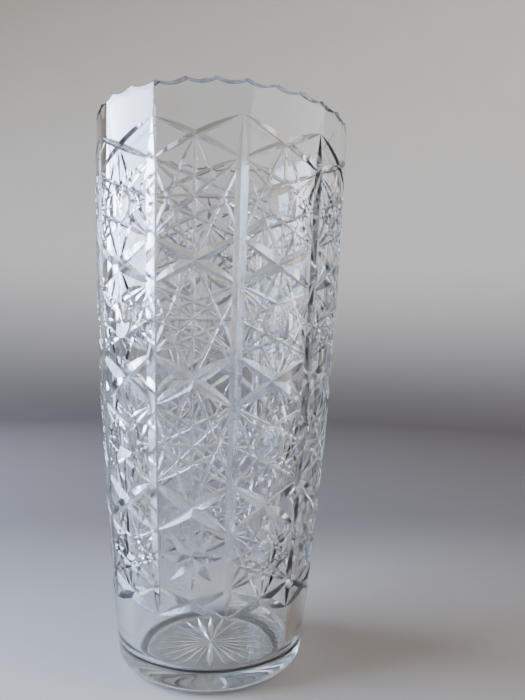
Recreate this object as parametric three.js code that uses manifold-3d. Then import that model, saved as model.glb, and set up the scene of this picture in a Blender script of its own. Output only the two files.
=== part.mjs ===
// Tall cut crystal vase: one blown, wheel-cut and polished vessel.
// Millimetres, +Z up, origin at the centre of the face that the vase stands on.
import * as THREE from "three";
import { mergeVertices } from "three/addons/utils/BufferGeometryUtils.js";
import Module from "manifold-3d";

const wasm = await Module();
wasm.setup();

// Panels around the vessel, and where the first groove between two of them stands
const PANELS = 10;
const PANEL_ANGLE = (2 * Math.PI) / PANELS;
const FIRST_GROOVE = THREE.MathUtils.degToRad(-28.3);

// Vessel
const HEIGHT = 250;
const BASE_RADIUS = 42;
const MOUTH_RADIUS = 60;
const WALL_BULGE = 3.4;
const BASE_WALL = 7;
const MOUTH_WALL = 5.5;
const FLOOR_THICKNESS = 6.5;
const FLOOR_CORNER = 8;
const HEEL_RADIUS = 7;
const FOOT_INNER = 30;
const FOOT_RECESS = 1.2;
const ROUND_SEGMENTS = 3 * PANELS;
const WALL_STEPS = 4;
const ARC_STEPS = 3;

// Pattern
const CROSS_LEVELS = [
  { z: 227, half: 8.6, share: 0.52 },
  { z: 178, half: 9.2, share: 0.95 },
  { z: 130.5, half: 10.4, share: 1 },
  { z: 79, half: 9.9, share: 0.95 },
  { z: 39.5, half: 6, share: 0.75 },
];
const GROOVE = { depth: 2.1, halfWidth: 2.8 };
const CROSS = { depth: 2.2, halfWidth: 2.8 };
const PETAL = { depth: 1.5, halfWidth: 2.5, length: 14 };
// The hollows' radius as a share of their field's height, their depth, how far the middle of
// their egg stands clear of the wall, and how much wider than tall they are
const EYE = { share: 0.16, depth: 2.6, lift: 0.8, stretch: 1.05, around: 12, rings: 8 };
const SCALLOPS = 3 * PANELS;
const SCALLOP_DEPTH = 1.5;
const SCALLOP_SEGMENTS = 24;
const RAYS = 24;
const RAY = { inner: 2, outer: FOOT_INNER - 2, depth: 1.2, halfWidth: 1.6 };

// How far a cutter stands clear of the surface that it cuts
const CLEAR = 1;
// Least share of its full depth that a cut has at its ends, so that its wedge stays closed
const MIN_SHARE = 0.04;
// Power that makes a leaf-shaped cut fuller than a plain arch
const LEAF_FULLNESS = 0.8;
// Power that keeps a cross cut wide for most of its length
const LENS_FULLNESS = 2.6;
// A groove's depth at its foot as a share of the full depth, how far up it is full, and its run-outs
const GROOVE_RUN = { footShare: 0.62, fullFrom: 0.6, foot: 0.05, top: 0.1 };

// Radius of the outer wall at a height
function wallRadius(z) {
  const t = z / HEIGHT;
  return BASE_RADIUS + (MOUTH_RADIUS - BASE_RADIUS) * t + 4 * WALL_BULGE * t * (1 - t);
}

// Thickness of the wall at a height
function wallThickness(z) {
  return BASE_WALL + (MOUTH_WALL - BASE_WALL) * (z / HEIGHT);
}

// Angle that the outer wall leans out from the vertical at a height
function wallLean(z) {
  const slope = (MOUTH_RADIUS - BASE_RADIUS + 4 * WALL_BULGE * (1 - (2 * z) / HEIGHT)) / HEIGHT;
  return Math.atan(slope);
}

// A point on the outer wall, and the outward normal there
function wallPoint(angle, z) {
  const radius = wallRadius(z);
  return new THREE.Vector3(radius * Math.sin(angle), -radius * Math.cos(angle), z);
}

function wallNormal(angle, z) {
  const lean = wallLean(z);
  const flat = Math.cos(lean);
  return new THREE.Vector3(flat * Math.sin(angle), -flat * Math.cos(angle), -Math.sin(lean));
}

function toSolid(geometry) {
  geometry.deleteAttribute("normal");
  geometry.deleteAttribute("uv");
  const merged = mergeVertices(geometry, 1e-4);
  return new wasm.Manifold(
    new wasm.Mesh({
      numProp: 3,
      vertProperties: new Float32Array(merged.attributes.position.array),
      triVerts: new Uint32Array(merged.index.array),
    }),
  );
}

function toGeometry(solid) {
  const mesh = solid.getMesh();
  const geometry = new THREE.BufferGeometry();
  geometry.setAttribute("position", new THREE.BufferAttribute(mesh.vertProperties, 3));
  geometry.setIndex(new THREE.BufferAttribute(mesh.triVerts, 1));
  geometry.computeVertexNormals();
  return geometry;
}

// Profile of the vessel from the underside, up the outside and down the inside to the floor
function vesselProfile() {
  const points = [new THREE.Vector2(0, FOOT_RECESS)];
  points.push(new THREE.Vector2(FOOT_INNER, FOOT_RECESS));
  points.push(new THREE.Vector2(FOOT_INNER + FOOT_RECESS, 0));
  const heelCentre = wallRadius(HEEL_RADIUS) - HEEL_RADIUS;
  for (let i = 0; i <= ARC_STEPS; i++) {
    const turn = (i / ARC_STEPS) * (Math.PI / 2);
    points.push(
      new THREE.Vector2(heelCentre + HEEL_RADIUS * Math.sin(turn), HEEL_RADIUS * (1 - Math.cos(turn))),
    );
  }
  for (let i = 1; i <= WALL_STEPS; i++) {
    const z = HEEL_RADIUS + ((HEIGHT - HEEL_RADIUS) * i) / WALL_STEPS;
    points.push(new THREE.Vector2(wallRadius(z), z));
  }
  const cornerTop = FLOOR_THICKNESS + FLOOR_CORNER;
  for (let i = 0; i <= WALL_STEPS; i++) {
    const z = HEIGHT + ((cornerTop - HEIGHT) * i) / WALL_STEPS;
    points.push(new THREE.Vector2(wallRadius(z) - wallThickness(z), z));
  }
  const cornerCentre = wallRadius(cornerTop) - wallThickness(cornerTop) - FLOOR_CORNER;
  for (let i = 1; i <= ARC_STEPS; i++) {
    const turn = (i / ARC_STEPS) * (Math.PI / 2);
    points.push(
      new THREE.Vector2(
        cornerCentre + FLOOR_CORNER * Math.cos(turn),
        cornerTop - FLOOR_CORNER * Math.sin(turn),
      ),
    );
  }
  points.push(new THREE.Vector2(0, FLOOR_THICKNESS));
  return points;
}

function blank() {
  const geometry = new THREE.LatheGeometry(vesselProfile(), ROUND_SEGMENTS);
  geometry.rotateX(Math.PI / 2);
  geometry.rotateZ(FIRST_GROOVE - Math.PI / 2);
  return toSolid(geometry);
}

// A closed wedge along a line of stations. Each station has a place, an outward normal,
// a direction across the cut, and the depth and half width of the cut there.
function wedge(stations) {
  const positions = [];
  for (const { place, normal, across, depth, halfWidth } of stations) {
    const spread = (halfWidth * (depth + CLEAR)) / depth;
    const top = place.clone().addScaledVector(normal, CLEAR);
    const left = top.clone().addScaledVector(across, -spread);
    const right = top.clone().addScaledVector(across, spread);
    const root = place.clone().addScaledVector(normal, -depth);
    positions.push(...left.toArray(), ...right.toArray(), ...root.toArray());
  }
  const triangles = [0, 1, 2];
  for (let i = 0; i + 1 < stations.length; i++) {
    for (let side = 0; side < 3; side++) {
      const a = 3 * i + side;
      const b = 3 * i + ((side + 1) % 3);
      triangles.push(a, a + 3, b, b, a + 3, b + 3);
    }
  }
  const last = 3 * (stations.length - 1);
  triangles.push(last, last + 2, last + 1);
  const geometry = new THREE.BufferGeometry();
  geometry.setAttribute("position", new THREE.Float32BufferAttribute(positions, 3));
  geometry.setIndex(triangles);
  return solidFacingOut(geometry);
}

// The wedge's triangles are turned over where its stations run the other way round
function solidFacingOut(geometry) {
  const solid = toSolid(geometry);
  if (solid.volume() > 0) {
    return solid;
  }
  const index = geometry.index.array;
  for (let i = 0; i < index.length; i += 3) {
    [index[i], index[i + 1]] = [index[i + 1], index[i]];
  }
  return toSolid(geometry);
}

// A mitre cut on the wall from one (angle, height) to another. shape gives the share of the
// full depth and width at a share of the way along.
function wallCut(from, to, size, shape, steps) {
  const stations = [];
  for (let i = 0; i <= steps; i++) {
    const along = i / steps;
    const angle = THREE.MathUtils.lerp(from.angle, to.angle, along);
    const z = THREE.MathUtils.lerp(from.z, to.z, along);
    const normal = wallNormal(angle, z);
    const ahead = wallPoint(to.angle, to.z).sub(wallPoint(from.angle, from.z));
    const across = new THREE.Vector3().crossVectors(normal, ahead).normalize();
    const share = shape(along);
    stations.push({
      place: wallPoint(angle, z),
      normal,
      across,
      depth: size.depth * share,
      halfWidth: size.halfWidth * share,
    });
  }
  return wedge(stations);
}

// A groove from its foot up: it deepens with height and runs out to a point at both ends
function grooveShape(along) {
  const { footShare, fullFrom, foot, top } = GROOVE_RUN;
  const body = Math.min(1, footShare + ((1 - footShare) * along) / fullFrom);
  return Math.max(MIN_SHARE, body * Math.min(1, along / foot, (1 - along) / top));
}

// A leaf-shaped cut, deepest in the middle
function leafShape(along) {
  return Math.max(MIN_SHARE, Math.sin(Math.PI * along) ** LEAF_FULLNESS);
}

// Where a round wheel sinks in and comes out again
function lensShape(along) {
  return Math.max(MIN_SHARE, 1 - Math.abs(2 * along - 1) ** LENS_FULLNESS);
}

// The upright grooves between the panels
function uprightGrooves() {
  const top = CROSS_LEVELS[0];
  const bottom = CROSS_LEVELS[CROSS_LEVELS.length - 1];
  const cuts = [];
  for (let panel = 0; panel < PANELS; panel++) {
    const angle = FIRST_GROOVE + panel * PANEL_ANGLE;
    const from = { angle, z: bottom.z - bottom.half };
    const to = { angle, z: top.z + top.half };
    cuts.push(wallCut(from, to, GROOVE, grooveShape, 8));
  }
  return cuts;
}

// Two long cuts that cross at the middle of a panel, at each level, and their share of the full size
function crosses() {
  const cuts = [];
  for (let panel = 0; panel < PANELS; panel++) {
    const middle = FIRST_GROOVE + (panel + 0.5) * PANEL_ANGLE;
    for (const { z, half, share } of CROSS_LEVELS) {
      const size = { depth: CROSS.depth * share, halfWidth: CROSS.halfWidth * share };
      for (const rise of [-1, 1]) {
        const from = { angle: middle - PANEL_ANGLE / 2, z: z - rise * half };
        const to = { angle: middle + PANEL_ANGLE / 2, z: z + rise * half };
        cuts.push(wallCut(from, to, size, lensShape, 4));
      }
    }
  }
  return cuts;
}

// The star of wide petals in the lowest field of every second panel
function petalStars() {
  const cuts = [];
  const upper = CROSS_LEVELS[CROSS_LEVELS.length - 2].z;
  const lower = CROSS_LEVELS[CROSS_LEVELS.length - 1].z;
  const z = (upper + lower) / 2;
  const directions = 4;
  for (let panel = 0; panel < PANELS; panel += 2) {
    const middle = FIRST_GROOVE + (panel + 0.5) * PANEL_ANGLE;
    for (let i = 0; i < directions; i++) {
      const turn = (i * Math.PI) / directions;
      const rise = PETAL.length * Math.sin(turn);
      const swing = (PETAL.length * Math.cos(turn)) / wallRadius(z);
      const from = { angle: middle - swing, z: z - rise };
      const to = { angle: middle + swing, z: z + rise };
      cuts.push(wallCut(from, to, PETAL, leafShape, 2));
    }
  }
  return cuts;
}

// The round hollow at the middle of each field of the other panels
function bullsEyes() {
  const cuts = [];
  for (let panel = 1; panel < PANELS; panel += 2) {
    const angle = FIRST_GROOVE + (panel + 0.5) * PANEL_ANGLE;
    for (let level = 0; level + 1 < CROSS_LEVELS.length; level++) {
      const upper = CROSS_LEVELS[level].z;
      const lower = CROSS_LEVELS[level + 1].z;
      const z = (upper + lower) / 2;
      const radius = EYE.share * (upper - lower);
      const deep = EYE.depth + EYE.lift;
      const wide = radius / Math.sqrt(1 - (EYE.lift / deep) ** 2);
      const place = wallPoint(angle, z).addScaledVector(wallNormal(angle, z), EYE.lift);
      const geometry = new THREE.SphereGeometry(1, EYE.around, EYE.rings);
      geometry.scale(wide * EYE.stretch, deep, wide);
      geometry.rotateZ(angle);
      geometry.translate(place.x, place.y, place.z);
      cuts.push(toSolid(geometry));
    }
  }
  return cuts;
}

// The scallops ground across the rim
function rimScallops() {
  const cuts = [];
  const chord = MOUTH_RADIUS * Math.sin(Math.PI / SCALLOPS);
  const radius = (chord ** 2 + SCALLOP_DEPTH ** 2) / (2 * SCALLOP_DEPTH);
  const length = 3 * MOUTH_WALL;
  for (let i = 0; i < SCALLOPS; i++) {
    const angle = FIRST_GROOVE + ((i + 0.5) * 2 * Math.PI) / SCALLOPS;
    const geometry = new THREE.CylinderGeometry(radius, radius, length, SCALLOP_SEGMENTS);
    const middle = MOUTH_RADIUS - MOUTH_WALL / 2;
    geometry.translate(0, -middle, 0);
    geometry.rotateZ(angle);
    geometry.translate(0, 0, HEIGHT - SCALLOP_DEPTH + radius);
    cuts.push(toSolid(geometry));
  }
  return cuts;
}

// The sunburst cut in the underside
function underRays() {
  const cuts = [];
  const normal = new THREE.Vector3(0, 0, -1);
  const steps = 2;
  for (let i = 0; i < RAYS; i++) {
    const angle = (i * 2 * Math.PI) / RAYS;
    const out = new THREE.Vector3(Math.cos(angle), Math.sin(angle), 0);
    const across = new THREE.Vector3(-Math.sin(angle), Math.cos(angle), 0);
    const stations = [];
    for (let step = 0; step <= steps; step++) {
      const along = step / steps;
      const share = leafShape(along);
      const place = out.clone().multiplyScalar(THREE.MathUtils.lerp(RAY.inner, RAY.outer, along));
      place.z = FOOT_RECESS;
      stations.push({ place, normal, across, depth: RAY.depth * share, halfWidth: RAY.halfWidth * share });
    }
    cuts.push(wedge(stations));
  }
  return cuts;
}

function vaseBody() {
  const cuts = [
    ...uprightGrooves(),
    ...crosses(),
    ...petalStars(),
    ...bullsEyes(),
    ...rimScallops(),
    ...underRays(),
  ];
  let solid = blank();
  for (const cut of cuts) {
    solid = solid.subtract(cut);
  }
  return toGeometry(solid);
}

function crystal() {
  return new THREE.MeshStandardMaterial({ color: 0xc9cfcb, roughness: 0.05, metalness: 0 });
}

const vase = new THREE.Group();
const body = new THREE.Mesh(vaseBody(), crystal());
body.name = "vase_body";
vase.add(body);

export default vase;
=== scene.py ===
"""Tall cut crystal vase, turned and wheel-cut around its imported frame.

The vessel is built the way the real one is made: a blown blank is turned, its rim is ground into
scallops, and then wheels of different profiles cut the pattern, one pass after another. Sizes are in
millimetres, apart from those of the lights, which are in metres.
"""

import logging
import math
from collections.abc import Callable, Iterable
from dataclasses import dataclass, field
from enum import Enum

import bmesh
import bpy
import numpy as np
from mathutils import Matrix, Vector


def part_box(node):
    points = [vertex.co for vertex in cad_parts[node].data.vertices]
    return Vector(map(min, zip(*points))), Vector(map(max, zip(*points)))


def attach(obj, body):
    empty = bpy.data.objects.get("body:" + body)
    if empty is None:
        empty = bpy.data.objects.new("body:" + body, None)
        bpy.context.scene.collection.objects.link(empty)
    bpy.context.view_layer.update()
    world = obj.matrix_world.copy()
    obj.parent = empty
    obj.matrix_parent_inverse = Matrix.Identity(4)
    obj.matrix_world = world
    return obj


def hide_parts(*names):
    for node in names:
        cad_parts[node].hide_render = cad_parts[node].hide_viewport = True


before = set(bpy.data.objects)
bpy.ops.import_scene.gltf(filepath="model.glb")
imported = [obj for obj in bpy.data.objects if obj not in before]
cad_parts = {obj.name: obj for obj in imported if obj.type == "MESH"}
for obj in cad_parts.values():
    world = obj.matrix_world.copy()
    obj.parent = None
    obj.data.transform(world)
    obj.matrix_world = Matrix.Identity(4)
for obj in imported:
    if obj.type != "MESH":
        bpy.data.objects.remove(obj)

MM = 0.001
CUT_MASK = "wheel_cut"
log = logging.getLogger("vase")

Shape = Callable[[float], float]
WallPlace = tuple[float, float]
Face = tuple[int, ...]
Body = tuple[list[np.ndarray], list[Face]]


class Surface(Enum):
    """What shaped a face of the vessel."""

    BLOWN = 0
    MITRE = 1
    FINE = 2
    HOLLOW = 3

    def haze_share(self) -> float:
        """Say how hazy the surface is.

        Returns:
            Its share of a broad cut's haze.
        """
        shares = {Surface.BLOWN: 0.0, Surface.MITRE: 1.0, Surface.FINE: 0.7, Surface.HOLLOW: 0.1}
        return shares[self]


def linear(hex_colour: str) -> tuple[float, float, float, float]:
    """Turn an sRGB hex colour to linear light.

    Args:
        hex_colour: Six hex digits, such as "d9dcd6".

    Returns:
        Red, green, blue and an alpha of one.
    """
    toe, toe_slope, offset, power = 0.04045, 12.92, 0.055, 2.4
    channels = [int(hex_colour[i : i + 2], 16) / 255 for i in (0, 2, 4)]
    red, green, blue = (
        c / toe_slope if c <= toe else ((c + offset) / (1 + offset)) ** power for c in channels
    )
    return (red, green, blue, 1.0)


def add_node(
    material: bpy.types.Material,
    kind: str,
    settings: dict[str, object] | None = None,
    values: dict[str | int, object] | None = None,
    links: dict[str | int, bpy.types.NodeSocket] | None = None,
) -> bpy.types.Node:
    """Add one shader node with its settings, socket values and incoming links.

    Args:
        material: Material that gets the node.
        kind: Node type, such as "ShaderNodeTexNoise".
        settings: Properties of the node itself.
        values: Default values by input socket's name or number.
        links: Sockets to link from, by input socket's name or number.

    Returns:
        The new node.
    """
    node = material.node_tree.nodes.new(kind)
    for name, value in (settings or {}).items():
        setattr(node, name, value)
    for name, value in (values or {}).items():
        node.inputs[name].default_value = value
    for name, socket in (links or {}).items():
        material.node_tree.links.new(socket, node.inputs[name])
    return node


def empty_material(name: str) -> bpy.types.Material:
    """Make a node material with nothing in it.

    Args:
        name: Name of the material.

    Returns:
        The empty material.
    """
    material = bpy.data.materials.new(name)
    material.use_nodes = True
    material.node_tree.nodes.clear()
    return material


@dataclass(frozen=True)
class Finish:
    """How a face of the glass was finished: its haze, and the ripples left in it.

    The roughness is that of the clearest spots, and the haze is what the dullest ones add to it.
    """

    roughness: float
    haze: float
    ripple_mm: float
    ripple_height_mm: float


@dataclass(frozen=True)
class LeadCrystal:
    """Lead crystal, wheel-cut and then dipped in acid until it is nearly clear again.

    It is a bright, heavy glass that bends light strongly at each facet. It has a faint grey-green
    body colour in the thick base, a slow waviness in the walls from the blowing, and a soft haze in
    the cuts, where the acid left fine ripples. The haze follows the ripples, from none where they
    are below the clearest level to all of it where they are above the dullest one.
    """

    name: str = "lead_crystal_acid_polished"
    wall: Finish = Finish(roughness=0.008, haze=0.015, ripple_mm=18.0, ripple_height_mm=0.1)
    cut: Finish = Finish(roughness=0.18, haze=0.1, ripple_mm=2.2, ripple_height_mm=0.02)
    tint: str = "fdfefe"
    body_tint: str = "b4c8bf"
    body_density: float = 6.0
    ior: float = 1.545
    ripple_detail: float = 2.0
    clearest: float = 0.35
    dullest: float = 0.75

    def material(self) -> bpy.types.Material:
        """Build the glass, its ripples and its body colour.

        Returns:
            The finished material.
        """
        material = empty_material(self.name)
        place = add_node(material, "ShaderNodeTexCoord")
        cut_mask = add_node(material, "ShaderNodeAttribute", settings={"attribute_name": CUT_MASK})
        wall_rough, wall_height = self.rippled(material, place, self.wall)
        cut_rough, cut_height = self.rippled(material, place, self.cut)
        rough = self.masked(material, cut_mask, wall_rough, cut_rough)
        bump = self.masked(material, cut_mask, wall_height, cut_height)
        ripples = add_node(
            material,
            "ShaderNodeBump",
            values={"Strength": 1.0, "Distance": 1.0},
            links={"Height": bump},
        )
        glass = add_node(
            material,
            "ShaderNodeBsdfPrincipled",
            values={
                "Base Color": linear(self.tint),
                "IOR": self.ior,
                "Transmission Weight": 1.0,
            },
            links={"Roughness": rough, "Normal": ripples.outputs["Normal"]},
        )
        body = add_node(
            material,
            "ShaderNodeVolumeAbsorption",
            values={"Color": linear(self.body_tint), "Density": self.body_density},
        )
        add_node(
            material,
            "ShaderNodeOutputMaterial",
            links={"Surface": glass.outputs["BSDF"], "Volume": body.outputs["Volume"]},
        )
        return material

    def rippled(
        self, material: bpy.types.Material, place: bpy.types.Node, finish: Finish
    ) -> tuple[bpy.types.NodeSocket, bpy.types.NodeSocket]:
        """Lay one finish's ripples and haze.

        Args:
            material: Material that gets the nodes.
            place: Texture coordinates of the glass.
            finish: The finish to lay.

        Returns:
            Its roughness, and the height of its ripples in metres.
        """
        ripple = add_node(
            material,
            "ShaderNodeTexNoise",
            values={"Scale": 1 / (finish.ripple_mm * MM), "Detail": self.ripple_detail},
            links={"Vector": place.outputs["Object"]},
        )
        haze = add_node(
            material,
            "ShaderNodeMapRange",
            values={
                "From Min": self.clearest,
                "From Max": self.dullest,
                "To Min": finish.roughness,
                "To Max": finish.roughness + finish.haze,
            },
            links={"Value": ripple.outputs["Fac"]},
        )
        height = add_node(
            material,
            "ShaderNodeMath",
            settings={"operation": "MULTIPLY"},
            values={1: finish.ripple_height_mm * MM},
            links={0: ripple.outputs["Fac"]},
        )
        return haze.outputs["Result"], height.outputs["Value"]

    def masked(
        self,
        material: bpy.types.Material,
        mask: bpy.types.Node,
        wall: bpy.types.NodeSocket,
        cut: bpy.types.NodeSocket,
    ) -> bpy.types.NodeSocket:
        """Blend the value of the walls with that of the cuts.

        Args:
            material: Material that gets the node.
            mask: Node whose factor says how much of a cut's finish a face has.
            wall: Value on the walls.
            cut: Value in the cuts.

        Returns:
            The blended value.
        """
        mix = add_node(
            material,
            "ShaderNodeMix",
            settings={"data_type": "FLOAT"},
            links={"Factor": mask.outputs["Fac"], "A": wall, "B": cut},
        )
        return mix.outputs["Result"]


@dataclass(frozen=True)
class PaintedPaper:
    """Studio paper with a matt face, whose colour carries painted shade.

    The floor and the wall are pale, but the floor is painted darker than the wall, as if less light
    fell on it. They meet in a deeper tone that is painted shade, and the paper is painted deeper
    again, as shade, where it runs round behind the viewer.
    """

    name: str = "matt_backdrop_paper_painted_shade"
    # Painted shade: the floor is darker than the wall, darker still at the horizon, and dark behind
    # the viewer.
    floor_colour: str = "88827a"
    painted_horizon_shade: str = "504a46"
    wall_colour: str = "aaa191"
    painted_shade_behind: str = "6a6764"
    painted_horizon_fade_mm: tuple[float, float] = (-60.0, 260.0)
    wall_fade_mm: tuple[float, float] = (0.0, 440.0)
    shade_fade_mm: tuple[float, float] = (-300.0, -1100.0)
    roughness: float = 0.85
    mottle_mm: float = 60.0
    mottle_detail: float = 3.0
    mottle_colour: str = "f7f7f7"

    def material(self) -> bpy.types.Material:
        """Build the paper with its painted shade, from floor to wall and behind the viewer, and a
        faint mottle.

        Returns:
            The finished material.
        """
        material = empty_material(self.name)
        place = add_node(material, "ShaderNodeTexCoord")
        mottle = add_node(
            material,
            "ShaderNodeTexNoise",
            values={"Scale": 1 / (self.mottle_mm * MM), "Detail": self.mottle_detail},
            links={"Vector": place.outputs["Object"]},
        )
        along = add_node(
            material, "ShaderNodeSeparateXYZ", links={"Vector": place.outputs["Object"]}
        )
        paint = add_node(material, "ShaderNodeRGB")
        paint.outputs["Color"].default_value = linear(self.floor_colour)
        tone = paint.outputs["Color"]
        # Painted shade: the floor darkens back to the horizon, the wall pales upwards, and the paper
        # darkens again behind the viewer.
        fades = (
            ("Y", self.painted_horizon_fade_mm, self.painted_horizon_shade),
            ("Z", self.wall_fade_mm, self.wall_colour),
            ("Y", self.shade_fade_mm, self.painted_shade_behind),
        )
        for axis, (start, end), colour in fades:
            fade = add_node(
                material,
                "ShaderNodeMapRange",
                settings={"interpolation_type": "SMOOTHSTEP"},
                values={"From Min": start * MM, "From Max": end * MM},
                links={"Value": along.outputs[axis]},
            )
            tone = self.blended(material, "MIX", fade.outputs["Result"], tone, colour)
        tone = self.blended(material, "MULTIPLY", mottle.outputs["Fac"], tone, self.mottle_colour)
        paper = add_node(
            material,
            "ShaderNodeBsdfPrincipled",
            values={"Roughness": self.roughness},
            links={"Base Color": tone},
        )
        add_node(material, "ShaderNodeOutputMaterial", links={"Surface": paper.outputs["BSDF"]})
        return material

    def blended(
        self,
        material: bpy.types.Material,
        how: str,
        share: bpy.types.NodeSocket,
        under: bpy.types.NodeSocket,
        colour: str,
    ) -> bpy.types.NodeSocket:
        """Blend a plain colour over a tone.

        Args:
            material: Material that gets the node.
            how: Blend type of the mix.
            share: How much of the colour shows.
            under: The tone under it.
            colour: sRGB hex colour.

        Returns:
            The blended tone.
        """
        factor, colour_under, colour_over, colour_result = 0, 6, 7, 2
        mix = add_node(
            material,
            "ShaderNodeMix",
            settings={"data_type": "RGBA", "blend_type": how},
            values={colour_over: linear(colour)},
            links={factor: share, colour_under: under},
        )
        return mix.outputs[colour_result]


@dataclass(frozen=True)
class Wheel:
    """The profile that a cutting wheel leaves: how deep and how wide a full cut is."""

    depth: float
    half_width: float


@dataclass(frozen=True)
class Station:
    """One section across a cut: where it is, which way is out, and its depth and half width."""

    place: np.ndarray
    normal: np.ndarray
    across: np.ndarray
    depth: float
    half_width: float


@dataclass
class Solid:
    """Vertices and faces of one or more closed bodies, in millimetres."""

    vertices: list[np.ndarray] = field(default_factory=list)
    faces: list[Face] = field(default_factory=list)

    def add(self, vertices: Iterable[np.ndarray], faces: Iterable[Face]) -> None:
        """Append a closed body.

        Args:
            vertices: The body's vertices.
            faces: Its faces, numbered from its own first vertex.
        """
        start = len(self.vertices)
        self.vertices.extend(vertices)
        self.faces.extend(tuple(start + i for i in face) for face in faces)

    def mesh_object(self, name: str) -> bpy.types.Object:
        """Make a Blender object of the solid.

        Args:
            name: Name for the object and its mesh.

        Returns:
            The object, linked to the scene.
        """
        mesh = bpy.data.meshes.new(name)
        mesh.from_pydata([tuple(v * MM) for v in self.vertices], [], self.faces)
        obj = bpy.data.objects.new(name, mesh)
        bpy.context.scene.collection.objects.link(obj)
        return obj


def face_outwards(obj: bpy.types.Object) -> None:
    """Turn the faces of each closed body outwards.

    Args:
        obj: Object whose mesh is made of closed bodies.
    """
    work = bmesh.new()
    work.from_mesh(obj.data)
    bmesh.ops.recalc_face_normals(work, faces=work.faces)
    work.to_mesh(obj.data)
    work.free()


@dataclass
class VesselForm:
    """The turned shape of the vessel, with its rim ground but none of the pattern cut.

    The scallops fade out scallop_reach below the rim, and a tip of the rim stands rim_turn past the
    first groove.
    """

    height: float
    mouth_radius: float = 60.0
    base_radius: float = 42.0
    bulge: float = 3.4
    base_wall: float = 7.0
    mouth_wall: float = 5.5
    floor: float = 6.5
    floor_corner: float = 8.0
    heel: float = 7.0
    foot_inner: float = 30.0
    foot_recess: float = 1.2
    rim_round: float = 0.4
    rim_turn: float = math.radians(1.4)
    scallops: int = 30
    scallop_depth: float = 1.5
    scallop_reach: float = 9.0
    first_groove: float = math.radians(-28.3)
    segments: int = 240

    def radius(self, z: float) -> float:
        """Outer radius at a height."""
        t = z / self.height
        taper = (self.mouth_radius - self.base_radius) * t
        return self.base_radius + taper + 4 * self.bulge * t * (1 - t)

    def wall(self, z: float) -> float:
        """Wall thickness at a height."""
        return self.base_wall + (self.mouth_wall - self.base_wall) * z / self.height

    def point(self, place: WallPlace) -> np.ndarray:
        """Point on the outer wall.

        Args:
            place: Angle from the front in radians, and height.

        Returns:
            The point, in millimetres.
        """
        angle, z = place
        radius = self.radius(z)
        return np.array([radius * math.sin(angle), -radius * math.cos(angle), z])

    def normal(self, place: WallPlace) -> np.ndarray:
        """Outward normal of the outer wall.

        Args:
            place: Angle from the front in radians, and height.

        Returns:
            A unit vector.
        """
        angle, z = place
        rise = self.mouth_radius - self.base_radius + 4 * self.bulge * (1 - 2 * z / self.height)
        lean = math.atan(rise / self.height)
        flat = math.cos(lean)
        return np.array([flat * math.sin(angle), -flat * math.cos(angle), -math.sin(lean)])

    def profile(self) -> np.ndarray:
        """Half section from the middle of the underside, up the outside and down the inside.

        Returns:
            Radius and height of each point; both ends are on the axis.
        """
        wall_steps, arc_steps, rim_steps = 26, 8, 5
        points = [(0.0, self.foot_recess), (self.foot_inner, self.foot_recess)]
        points.append((self.foot_inner + self.foot_recess, 0.0))
        heel_middle = self.radius(self.heel) - self.heel
        for turn in np.linspace(0, math.pi / 2, arc_steps):
            points.append(
                (heel_middle + self.heel * math.sin(turn), self.heel * (1 - math.cos(turn)))
            )
        top = self.height - self.rim_round
        for z in np.linspace(self.heel, top, wall_steps)[1:]:
            points.append((self.radius(z), z))
        outer, inner = self.radius(top), self.radius(top) - self.wall(top)
        for turn in np.linspace(0, math.pi / 2, rim_steps)[1:]:
            reach = self.rim_round * (1 - math.cos(turn))
            points.append((outer - reach, top + self.rim_round * math.sin(turn)))
        for turn in np.linspace(math.pi / 2, 0, rim_steps):
            reach = self.rim_round * (1 - math.cos(turn))
            points.append((inner + reach, top + self.rim_round * math.sin(turn)))
        corner_top = self.floor + self.floor_corner
        for z in np.linspace(top, corner_top, wall_steps)[1:]:
            points.append((self.radius(z) - self.wall(z), z))
        corner = self.radius(corner_top) - self.wall(corner_top) - self.floor_corner
        for turn in np.linspace(0, math.pi / 2, arc_steps)[1:]:
            points.append(
                (
                    corner + self.floor_corner * math.cos(turn),
                    corner_top - self.floor_corner * math.sin(turn),
                )
            )
        points.append((0.0, self.floor))
        return np.array(points)

    def first_scallop(self) -> float:
        """Angle of a tip of the rim, which is ground with no regard to the grooves."""
        return self.first_groove + self.rim_turn

    def scallop_drop(self, angle: float) -> float:
        """How far the rim lies below its tips at an angle."""
        share = (angle - self.first_scallop()) * self.scallops / (2 * math.pi) % 1.0
        return self.scallop_depth * (1 - (2 * share - 1) ** 2)

    def blank(self) -> Solid:
        """Turn the profile and grind the scallops in the rim.

        Returns:
            One closed body.
        """
        profile = self.profile()
        ring_points = profile[1:-1]
        vertices: list[np.ndarray] = [np.array([0.0, 0.0, profile[0][1]])]
        for step in range(self.segments):
            angle = self.first_scallop() + 2 * math.pi * step / self.segments
            drop = self.scallop_drop(angle)
            for radius, z in ring_points:
                share = max(0.0, 1 - (self.height - z) / self.scallop_reach)
                lowered = z - drop * share**2
                vertices.append(
                    np.array([radius * math.sin(angle), -radius * math.cos(angle), lowered])
                )
        vertices.append(np.array([0.0, 0.0, profile[-1][1]]))
        count, last = len(ring_points), len(vertices) - 1
        faces: list[Face] = []
        for step in range(self.segments):
            here = 1 + step * count
            there = 1 + (step + 1) % self.segments * count
            faces.append((0, there, here))
            for i in range(count - 1):
                faces.append((here + i, there + i, there + i + 1, here + i + 1))
            faces.append((here + count - 1, there + count - 1, last))
        solid = Solid()
        solid.add(vertices, faces)
        return solid


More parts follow.
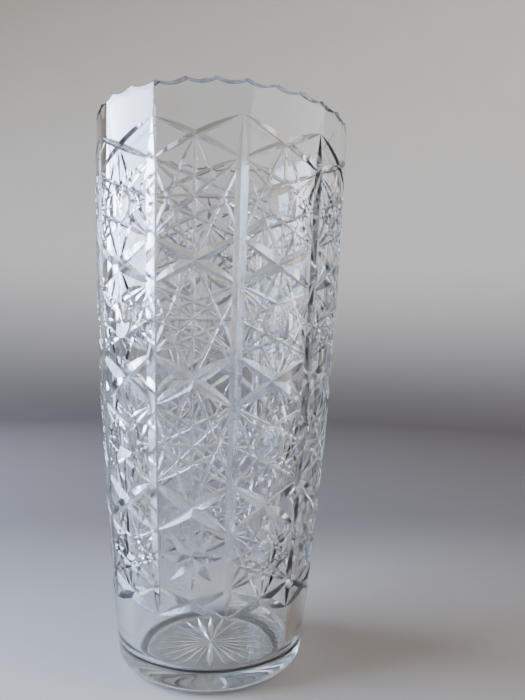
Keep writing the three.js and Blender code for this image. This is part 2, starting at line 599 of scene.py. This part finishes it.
def groove_shape(along: float) -> float:
    """Share of full depth in a long groove, from its foot up. It runs out to a point at both ends."""
    foot_share, full_from = 0.62, 0.6
    foot_run_out, foot_power = 0.05, 0.7
    top_run_out, top_power = 0.1, 0.8
    body = foot_share + (1 - foot_share) * min(1.0, along / full_from)
    foot = (along / foot_run_out) ** foot_power
    top = ((1 - along) / top_run_out) ** top_power
    return body * min(1.0, foot, top)


def leaf_shape(along: float) -> float:
    """Share of full depth in a leaf-shaped cut, deepest in the middle."""
    fullness = 0.8
    return math.sin(math.pi * along) ** fullness


def line_shape(along: float) -> float:
    """Share of full depth in a fine line that keeps its width almost to its ends."""
    run_out, run_out_power = 0.22, 0.6
    return min(1.0, (min(along, 1 - along) / run_out) ** run_out_power)


def twin_leaf_shape(along: float) -> float:
    """Share of full depth in two leaves laid end to end, a little shallower where they meet."""
    peak, fullness = 0.62, 0.9
    dip, dip_power = 0.42, 1.5
    from_end = 2 * min(along, 1 - along)
    if from_end < peak:
        return math.sin(math.pi / 2 * from_end / peak) ** fullness
    return 1 - dip * ((from_end - peak) / (1 - peak)) ** dip_power


def lens_shape(along: float) -> float:
    """Share of full depth where a round wheel sinks in and comes out again."""
    fullness = 2.6
    return 1 - abs(2 * along - 1) ** fullness


@dataclass
class Cell:
    """A six-sided field of a panel, between two crosses, by its angle and height."""

    middle: float
    half_angle: float
    top: float
    upper: float
    lower: float
    bottom: float

    def corners(self) -> list[WallPlace]:
        """The eight tips of the star: top, then round by the right to upper left."""
        left, right = self.middle - self.half_angle, self.middle + self.half_angle
        side = (self.upper + self.lower) / 2
        return [
            (self.middle, self.top),
            (right, self.upper),
            (right, side),
            (right, self.lower),
            (self.middle, self.bottom),
            (left, self.lower),
            (left, side),
            (left, self.upper),
        ]

    def centre(self) -> WallPlace:
        """Middle of the field."""
        return self.middle, (self.top + self.bottom) / 2


@dataclass
class CutPattern:
    """The wheel cuts that cover the wall and the underside, grouped in passes.

    The cuts of one pass stay clear of each other, so each pass is one clean subtraction. The panels
    alternate: the even ones have petals in their lowest field, and the odd ones a hollow in every
    field.

    A hollow's radius is eye_share of its field's height, and the middle of the egg that grinds it
    stands eye_lift clear of the wall. The star lines stop tip_gap short of the corners of their
    field. A cutter stands out of the glass by clear, and where a cut runs out it keeps least_share
    of its depth, so that its wedge stays closed.
    """

    form: VesselForm
    panels: int = 10
    cross_heights: tuple[float, ...] = (227.0, 178.0, 130.5, 79.0, 39.5)
    cross_halves: tuple[float, ...] = (8.6, 9.2, 10.4, 9.9, 6.0)
    cross_depths: tuple[float, ...] = (0.52, 0.95, 1.0, 0.95, 0.75)
    groove: Wheel = Wheel(depth=2.1, half_width=2.8)
    cross: Wheel = Wheel(depth=2.2, half_width=2.8)
    line: Wheel = Wheel(depth=0.75, half_width=0.95)
    petal: Wheel = Wheel(depth=1.5, half_width=2.5)
    petal_length: float = 14.0
    petal_pairs: int = 4
    petal_spread: float = 0.9
    eye_share: float = 0.16
    eye_depth: float = 2.6
    eye_lift: float = 0.8
    eye_stretch: float = 1.05
    tip_gap: float = 1.2
    star_tips: int = 8
    star_chord: int = 3
    rays: int = 12
    ray: Wheel = Wheel(depth=1.2, half_width=1.9)
    ray_reach: float = 28.0
    groove_steps: int = 40
    cross_steps: int = 24
    line_steps: int = 10
    petal_steps: int = 16
    ray_steps: int = 24
    clear: float = 1.0
    least_share: float = 0.02

    def wedge(self, stations: list[Station]) -> Body:
        """Closed wedge through a line of stations, with its root towards the glass.

        Args:
            stations: Sections along the cut, in order.

        Returns:
            Vertices and outward faces.
        """
        vertices: list[np.ndarray] = []
        for s in stations:
            spread = s.half_width / s.depth * (s.depth + self.clear)
            top = s.place + s.normal * self.clear
            vertices += [top - s.across * spread, top + s.across * spread]
            vertices.append(s.place - s.normal * s.depth)
        faces: list[Face] = [(0, 1, 2)]
        for i in range(len(stations) - 1):
            for side in range(3):
                a, b = 3 * i + side, 3 * i + (side + 1) % 3
                faces.append((a, a + 3, b + 3, b))
        last = 3 * (len(stations) - 1)
        faces.append((last, last + 2, last + 1))
        return vertices, faces

    def wall_cut(
        self, solid: Solid, start: WallPlace, end: WallPlace, wheel: Wheel, shape: Shape, steps: int
    ) -> None:
        """Add a straight pass of a wheel along the wall.

        Args:
            solid: Solid that gets the wedge.
            start: Where the wheel enters.
            end: Where it leaves.
            wheel: Full depth and width.
            shape: Share of the full cut at a share of the way along.
            steps: Number of stretches that the cut is made of.
        """
        ahead = self.form.point(end) - self.form.point(start)
        stations = []
        for along in np.linspace(0, 1, steps + 1):
            place = tuple(a + (b - a) * along for a, b in zip(start, end))
            normal = self.form.normal(place)
            across = np.cross(normal, ahead)
            across /= np.linalg.norm(across)
            share = max(self.least_share, shape(float(along)))
            stations.append(
                Station(
                    self.form.point(place),
                    normal,
                    across,
                    wheel.depth * share,
                    wheel.half_width * share,
                )
            )
        solid.add(*self.wedge(stations))

    def panel_middle(self, panel: int) -> float:
        """Angle of the middle of a panel."""
        return self.form.first_groove + (panel + 0.5) * 2 * math.pi / self.panels

    def half_panel(self) -> float:
        """Half the angle of a panel."""
        return math.pi / self.panels

    def cells(self, panel: int) -> list[Cell]:
        """The fields of one panel, from the top down."""
        crosses = list(zip(self.cross_heights, self.cross_halves))
        middle, half = self.panel_middle(panel), self.half_panel()
        return [
            Cell(middle, half, top, top - top_half, bottom + bottom_half, bottom)
            for (top, top_half), (bottom, bottom_half) in zip(crosses, crosses[1:])
        ]

    def grooves(self) -> Solid:
        """Upright grooves between the panels."""
        solid = Solid()
        low = self.cross_heights[-1] - self.cross_halves[-1]
        high = self.cross_heights[0] + self.cross_halves[0]
        for panel in range(self.panels):
            angle = self.panel_middle(panel) - self.half_panel()
            start, end = (angle, low), (angle, high)
            self.wall_cut(solid, start, end, self.groove, groove_shape, self.groove_steps)
        return solid

    def crosses(self, rise: int, first: int) -> Solid:
        """Every second panel's cross cuts that lean one way.

        Args:
            rise: One where the cut climbs to the right, minus one where it falls.
            first: The first panel.

        Returns:
            The wedges.
        """
        solid = Solid()
        half = self.half_panel()
        for panel in range(first, self.panels, 2):
            middle = self.panel_middle(panel)
            for z, high, share in zip(self.cross_heights, self.cross_halves, self.cross_depths):
                start = (middle - half, z - rise * high)
                end = (middle + half, z + rise * high)
                wheel = Wheel(self.cross.depth * share, self.cross.half_width * share)
                self.wall_cut(solid, start, end, wheel, lens_shape, self.cross_steps)
        return solid

    def star_lines(self, tip: int, reach: int, first: int) -> Solid:
        """One of the lines of every star, in every second panel.

        Args:
            tip: Tip of the star that the line starts from.
            reach: How many tips on it ends, three for a chord and four for a diameter.
            first: The first panel. The lowest field of the even panels is left to the petals.

        Returns:
            The wedges.
        """
        solid = Solid()
        for panel in range(first, self.panels, 2):
            fields = self.cells(panel)
            if first % 2 == 0:
                fields = fields[:-1]
            for cell in fields:
                corners = cell.corners()
                start, end = self.shortened(corners[tip], corners[(tip + reach) % self.star_tips])
                self.wall_cut(solid, start, end, self.line, line_shape, self.line_steps)
        return solid

    def shortened(self, start: WallPlace, end: WallPlace) -> tuple[WallPlace, WallPlace]:
        """Draw both ends of a cut in, so that it stops short of the cuts around its field.

        Args:
            start: Where the whole cut would begin.
            end: Where it would end.

        Returns:
            The two ends of the shorter cut.
        """
        length = float(np.linalg.norm(self.form.point(end) - self.form.point(start)))
        share = self.tip_gap / length
        near = tuple(a + (b - a) * share for a, b in zip(start, end))
        far = tuple(b + (a - b) * share for a, b in zip(start, end))
        return near, far

    def petals(self, turn: int) -> Solid:
        """One pair of petals of the star in the lowest field of every second panel.

        Args:
            turn: Number of the pair, from the level one round.

        Returns:
            The wedges.
        """
        solid = Solid()
        for panel in range(0, self.panels, 2):
            middle, z = self.cells(panel)[-1].centre()
            lean = turn * math.pi / self.petal_pairs
            rise = self.petal_length * math.sin(lean)
            reach = self.petal_length * self.petal_spread * math.cos(lean)
            swing = reach / self.form.radius(z)
            start, end = (middle - swing, z - rise), (middle + swing, z + rise)
            self.wall_cut(solid, start, end, self.petal, twin_leaf_shape, self.petal_steps)
        return solid

    def hollow(self, place: WallPlace, radius: float) -> Body:
        """Round end of the wheel that grinds a hollow, steep at the hollow's edge.

        Args:
            place: Middle of the hollow on the wall.
            radius: Radius of the hollow where it meets the wall.

        Returns:
            Vertices and faces of half an egg, from its root out to a flat lid.
        """
        rings, around = 12, 48
        deep = self.eye_depth + self.eye_lift
        wide = radius / math.sqrt(1 - (self.eye_lift / deep) ** 2)
        out = self.form.normal(place)
        side = np.array([math.cos(place[0]), math.sin(place[0]), 0.0])
        up = np.cross(out, side)
        root = self.form.point(place) - out * self.eye_depth
        vertices = [root]
        for ring in range(1, rings + 1):
            swing = math.pi / 2 * ring / rings
            lift = out * (deep * (1 - math.cos(swing)))
            for step in range(around):
                turn = 2 * math.pi * step / around
                flat = side * (math.cos(turn) * self.eye_stretch) + up * math.sin(turn)
                vertices.append(root + flat * (wide * math.sin(swing)) + lift)
        faces: list[Face] = []
        for step in range(around):
            after = (step + 1) % around
            faces.append((0, 1 + after, 1 + step))
            for ring in range(rings - 1):
                a, b = 1 + ring * around + step, 1 + ring * around + after
                faces.append((a, b, b + around, a + around))
        lid = 1 + (rings - 1) * around
        faces.append(tuple(lid + step for step in range(around)))
        return vertices, faces

    def eyes(self) -> Solid:
        """The round hollow in the middle of each field of the odd panels."""
        solid = Solid()
        for panel in range(1, self.panels, 2):
            for cell in self.cells(panel):
                radius = self.eye_share * (cell.top - cell.bottom)
                solid.add(*self.hollow(cell.centre(), radius))
        return solid

    def under_ray(self, index: int) -> Solid:
        """One cut of the sunburst, from edge to edge of the underside, which makes two of its rays.

        Args:
            index: Number of the cut.

        Returns:
            The wedge.
        """
        solid = Solid()
        angle = index * math.pi / self.rays
        out = np.array([math.cos(angle), math.sin(angle), 0.0])
        across = np.array([-math.sin(angle), math.cos(angle), 0.0])
        down = np.array([0.0, 0.0, -1.0])
        stations = []
        for along in np.linspace(0, 1, self.ray_steps + 1):
            share = max(self.least_share, leaf_shape(float(along)))
            place = out * self.ray_reach * (2 * along - 1) - down * self.form.foot_recess
            stations.append(
                Station(
                    place,
                    down,
                    across,
                    self.ray.depth * share,
                    self.ray.half_width * share,
                )
            )
        solid.add(*self.wedge(stations))
        return solid

    def passes(self) -> list[tuple[Solid, Surface]]:
        """All the passes, in the order in which the cutter makes them, and what each leaves."""
        broad = [self.grooves()]
        broad += [self.crosses(rise, first) for rise in (1, -1) for first in (0, 1)]
        tips, diameter = self.star_tips, self.star_tips // 2
        fine = []
        for first in (0, 1):
            fine += [self.star_lines(tip, self.star_chord, first) for tip in range(tips)]
            fine += [self.star_lines(tip, diameter, first) for tip in range(diameter)]
        petals = [self.petals(turn) for turn in range(self.petal_pairs)]
        rays = [self.under_ray(index) for index in range(self.rays)]
        order = (
            (broad, Surface.MITRE),
            (fine, Surface.FINE),
            (petals, Surface.MITRE),
            ([self.eyes()], Surface.HOLLOW),
            (rays, Surface.FINE),
        )
        return [(solid, surface) for solids, surface in order for solid in solids]


@dataclass
class CrystalVase:
    """The whole vessel: the turned blank with its pattern cut in it.

    Faces below the ground height are the foot and the underside, which are ground dull.
    """

    form: VesselForm
    pattern: CutPattern
    name: str = "crystal_body"
    sharp_angle: float = math.radians(14)
    ground_height: float = 1.6

    def build(self) -> bpy.types.Object:
        """Turn the blank, cut it and dress it.

        Returns:
            The finished vase.
        """
        vase = self.form.blank().mesh_object(self.name)
        face_outwards(vase)
        for surface in Surface:
            vase.data.materials.append(bpy.data.materials.new(surface.name))
        passes = self.pattern.passes()
        cutters = [self.cutter(vase, i, *one_pass) for i, one_pass in enumerate(passes)]
        graph = bpy.context.evaluated_depsgraph_get()
        mesh = bpy.data.meshes.new_from_object(vase.evaluated_get(graph))
        vase.modifiers.clear()
        vase.data = mesh
        for cutter in cutters:
            bpy.data.objects.remove(cutter)
        self.mark_cuts(mesh)
        mesh.materials.clear()
        mesh.materials.append(LeadCrystal().material())
        mesh.shade_smooth()
        mesh.set_sharp_from_angle(angle=self.sharp_angle)
        log.info("%s: %d faces", self.name, len(mesh.polygons))
        return vase

    def cutter(
        self, vase: bpy.types.Object, index: int, solid: Solid, surface: Surface
    ) -> bpy.types.Object:
        """Cut one pass out of the vase.

        Args:
            vase: The vase, which gets a boolean.
            index: Number of the pass.
            solid: The wedges of the pass.
            surface: What the pass leaves.

        Returns:
            The object that cuts.
        """
        cutter = solid.mesh_object(f"pass_{index}")
        face_outwards(cutter)
        for slot in vase.data.materials:
            cutter.data.materials.append(slot)
        faces = cutter.data.polygons
        faces.foreach_set("material_index", [surface.value] * len(faces))
        cut = vase.modifiers.new(cutter.name, "BOOLEAN")
        cut.operation = "DIFFERENCE"
        cut.solver = "MANIFOLD"
        cut.object = cutter
        return cutter

    def mark_cuts(self, mesh: bpy.types.Mesh) -> None:
        """Turn the slots that the cuts left, and the ground foot, to a mask that the glass reads.

        Args:
            mesh: The cut vessel, whose slots say what shaped each face.
        """
        slots = np.zeros(len(mesh.polygons), dtype=np.int32)
        mesh.polygons.foreach_get("material_index", slots)
        mask = mesh.attributes.new(CUT_MASK, "FLOAT", "FACE")
        shares = np.array([surface.haze_share() for surface in Surface], dtype=np.float32)
        haze = shares[slots]
        centres = np.zeros(3 * len(mesh.polygons), dtype=np.float32)
        mesh.polygons.foreach_get("center", centres)
        haze[centres[2::3] < self.ground_height * MM] = Surface.MITRE.haze_share()
        mask.data.foreach_set("value", haze)
        mesh.polygons.foreach_set("material_index", np.zeros_like(slots))


@dataclass(frozen=True)
class PanelLight:
    """A soft rectangular light. Places and sizes are in metres, and the power is in watts."""

    name: str
    place: tuple[float, float, float]
    aim: tuple[float, float, float]
    size: tuple[float, float]
    power: float
    colour: str

    def hang(self) -> None:
        """Put the light in the scene, turned to the point that it faces."""
        light = bpy.data.lights.new(self.name, "AREA")
        light.shape = "RECTANGLE"
        light.size, light.size_y = self.size
        light.energy = self.power
        light.color = linear(self.colour)[:3]
        lamp = bpy.data.objects.new(self.name, light)
        place = Vector(self.place)
        turn = (Vector(self.aim) - place).to_track_quat("-Z", "Y")
        lamp.matrix_world = Matrix.Translation(place) @ turn.to_matrix().to_4x4()
        bpy.context.scene.collection.objects.link(lamp)


@dataclass
class Studio:
    """Round seamless paper, a window of soft light at the left, two weaker lights and the camera."""

    camera_distance: float = 292.0
    camera_height: float = 138.0
    heading: float = math.radians(4.28)
    pitch: float = math.radians(1.27)
    roll: float = math.radians(1.30)
    lens: float = 27.4
    sensor: float = 24.0
    nearest: float = 10.0
    sweep_radius: float = 250.0
    wall_radius: float = 1400.0
    wall_height: float = 2400.0
    window: PanelLight = PanelLight(
        "window", (-1.0, 0.0, 0.58), (0.0, 0.0, 0.15), (1.1, 0.8), 108.0, "c6dbff"
    )
    wall_wash: PanelLight = PanelLight(
        "wall_wash", (0.9, -0.5, 1.5), (0.7, 1.4, 0.6), (0.8, 0.8), 23.0, "ffe9d0"
    )
    fill: PanelLight = PanelLight(
        "fill", (0.8, -0.45, 0.35), (0.0, 0.0, 0.15), (1.3, 1.1), 6.0, "f1f4ff"
    )
    room_colour: str = "9a9fa6"
    room_strength: float = 0.2

    def backdrop(self) -> bpy.types.Object:
        """Make the round floor that sweeps up into a wall all the way round.

        Returns:
            The backdrop.
        """
        steps, around = 12, 96
        path = []
        for turn in np.linspace(0, math.pi / 2, steps):
            out = self.wall_radius - self.sweep_radius + self.sweep_radius * math.sin(turn)
            path.append((out, self.sweep_radius * (1 - math.cos(turn))))
        path.append((self.wall_radius, self.wall_height))
        paper = Solid()
        for step in range(around):
            angle = 2 * math.pi * step / around
            ahead = np.array([math.cos(angle), math.sin(angle), 0.0])
            paper.vertices += [ahead * out + np.array([0.0, 0.0, z]) for out, z in path]
        count = len(path)
        for step in range(around):
            here, there = step * count, (step + 1) % around * count
            paper.faces += [
                (here + i, here + i + 1, there + i + 1, there + i) for i in range(count - 1)
            ]
        paper.faces.append(tuple(step * count for step in range(around)))
        backdrop = paper.mesh_object("backdrop")
        backdrop.data.shade_smooth()
        backdrop.data.materials.append(PaintedPaper().material())
        return backdrop

    def lights(self) -> None:
        """Hang the lights, in a room with a little light of its own."""
        for light in (self.window, self.wall_wash, self.fill):
            light.hang()
        world = bpy.data.worlds.new("dim_room")
        world.use_nodes = True
        room = world.node_tree.nodes["Background"]
        room.inputs["Color"].default_value = linear(self.room_colour)
        room.inputs["Strength"].default_value = self.room_strength
        bpy.context.scene.world = world

    def camera(self) -> None:
        """Stand the camera in front of the vase, a little above its middle."""
        sin_h, cos_h = math.sin(self.heading), math.cos(self.heading)
        sin_p, cos_p = math.sin(self.pitch), math.cos(self.pitch)
        ahead = Vector((sin_h * cos_p, cos_h * cos_p, sin_p))
        right = Vector((cos_h, -sin_h, 0.0))
        up = right.cross(ahead)
        tilted_right = right * math.cos(self.roll) + up * math.sin(self.roll)
        tilted_up = up * math.cos(self.roll) - right * math.sin(self.roll)
        data = bpy.data.cameras.new("camera")
        data.sensor_fit = "HORIZONTAL"
        data.sensor_width = self.sensor
        data.lens = self.lens
        data.clip_start = self.nearest * MM
        camera = bpy.data.objects.new("camera", data)
        turn = Matrix((tilted_right, tilted_up, -ahead)).transposed().to_4x4()
        place = Vector((0.0, -self.camera_distance * MM, self.camera_height * MM))
        camera.matrix_world = Matrix.Translation(place) @ turn
        bpy.context.scene.collection.objects.link(camera)
        bpy.context.scene.camera = camera


def main() -> None:
    """Build the vase, stand it in the studio and tie it to the frame."""
    logging.basicConfig(level=logging.INFO, format="%(name)s: %(message)s")
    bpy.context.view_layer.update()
    low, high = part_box("vase_body")
    form = VesselForm(height=high.z / MM)
    vase = CrystalVase(form, CutPattern(form)).build()
    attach(vase, "root")
    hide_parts("vase_body")
    studio = Studio()
    studio.backdrop()
    studio.lights()
    studio.camera()
    log.info("frame box %s to %s", tuple(low), tuple(high))


if __name__ == "__main__":
    main()
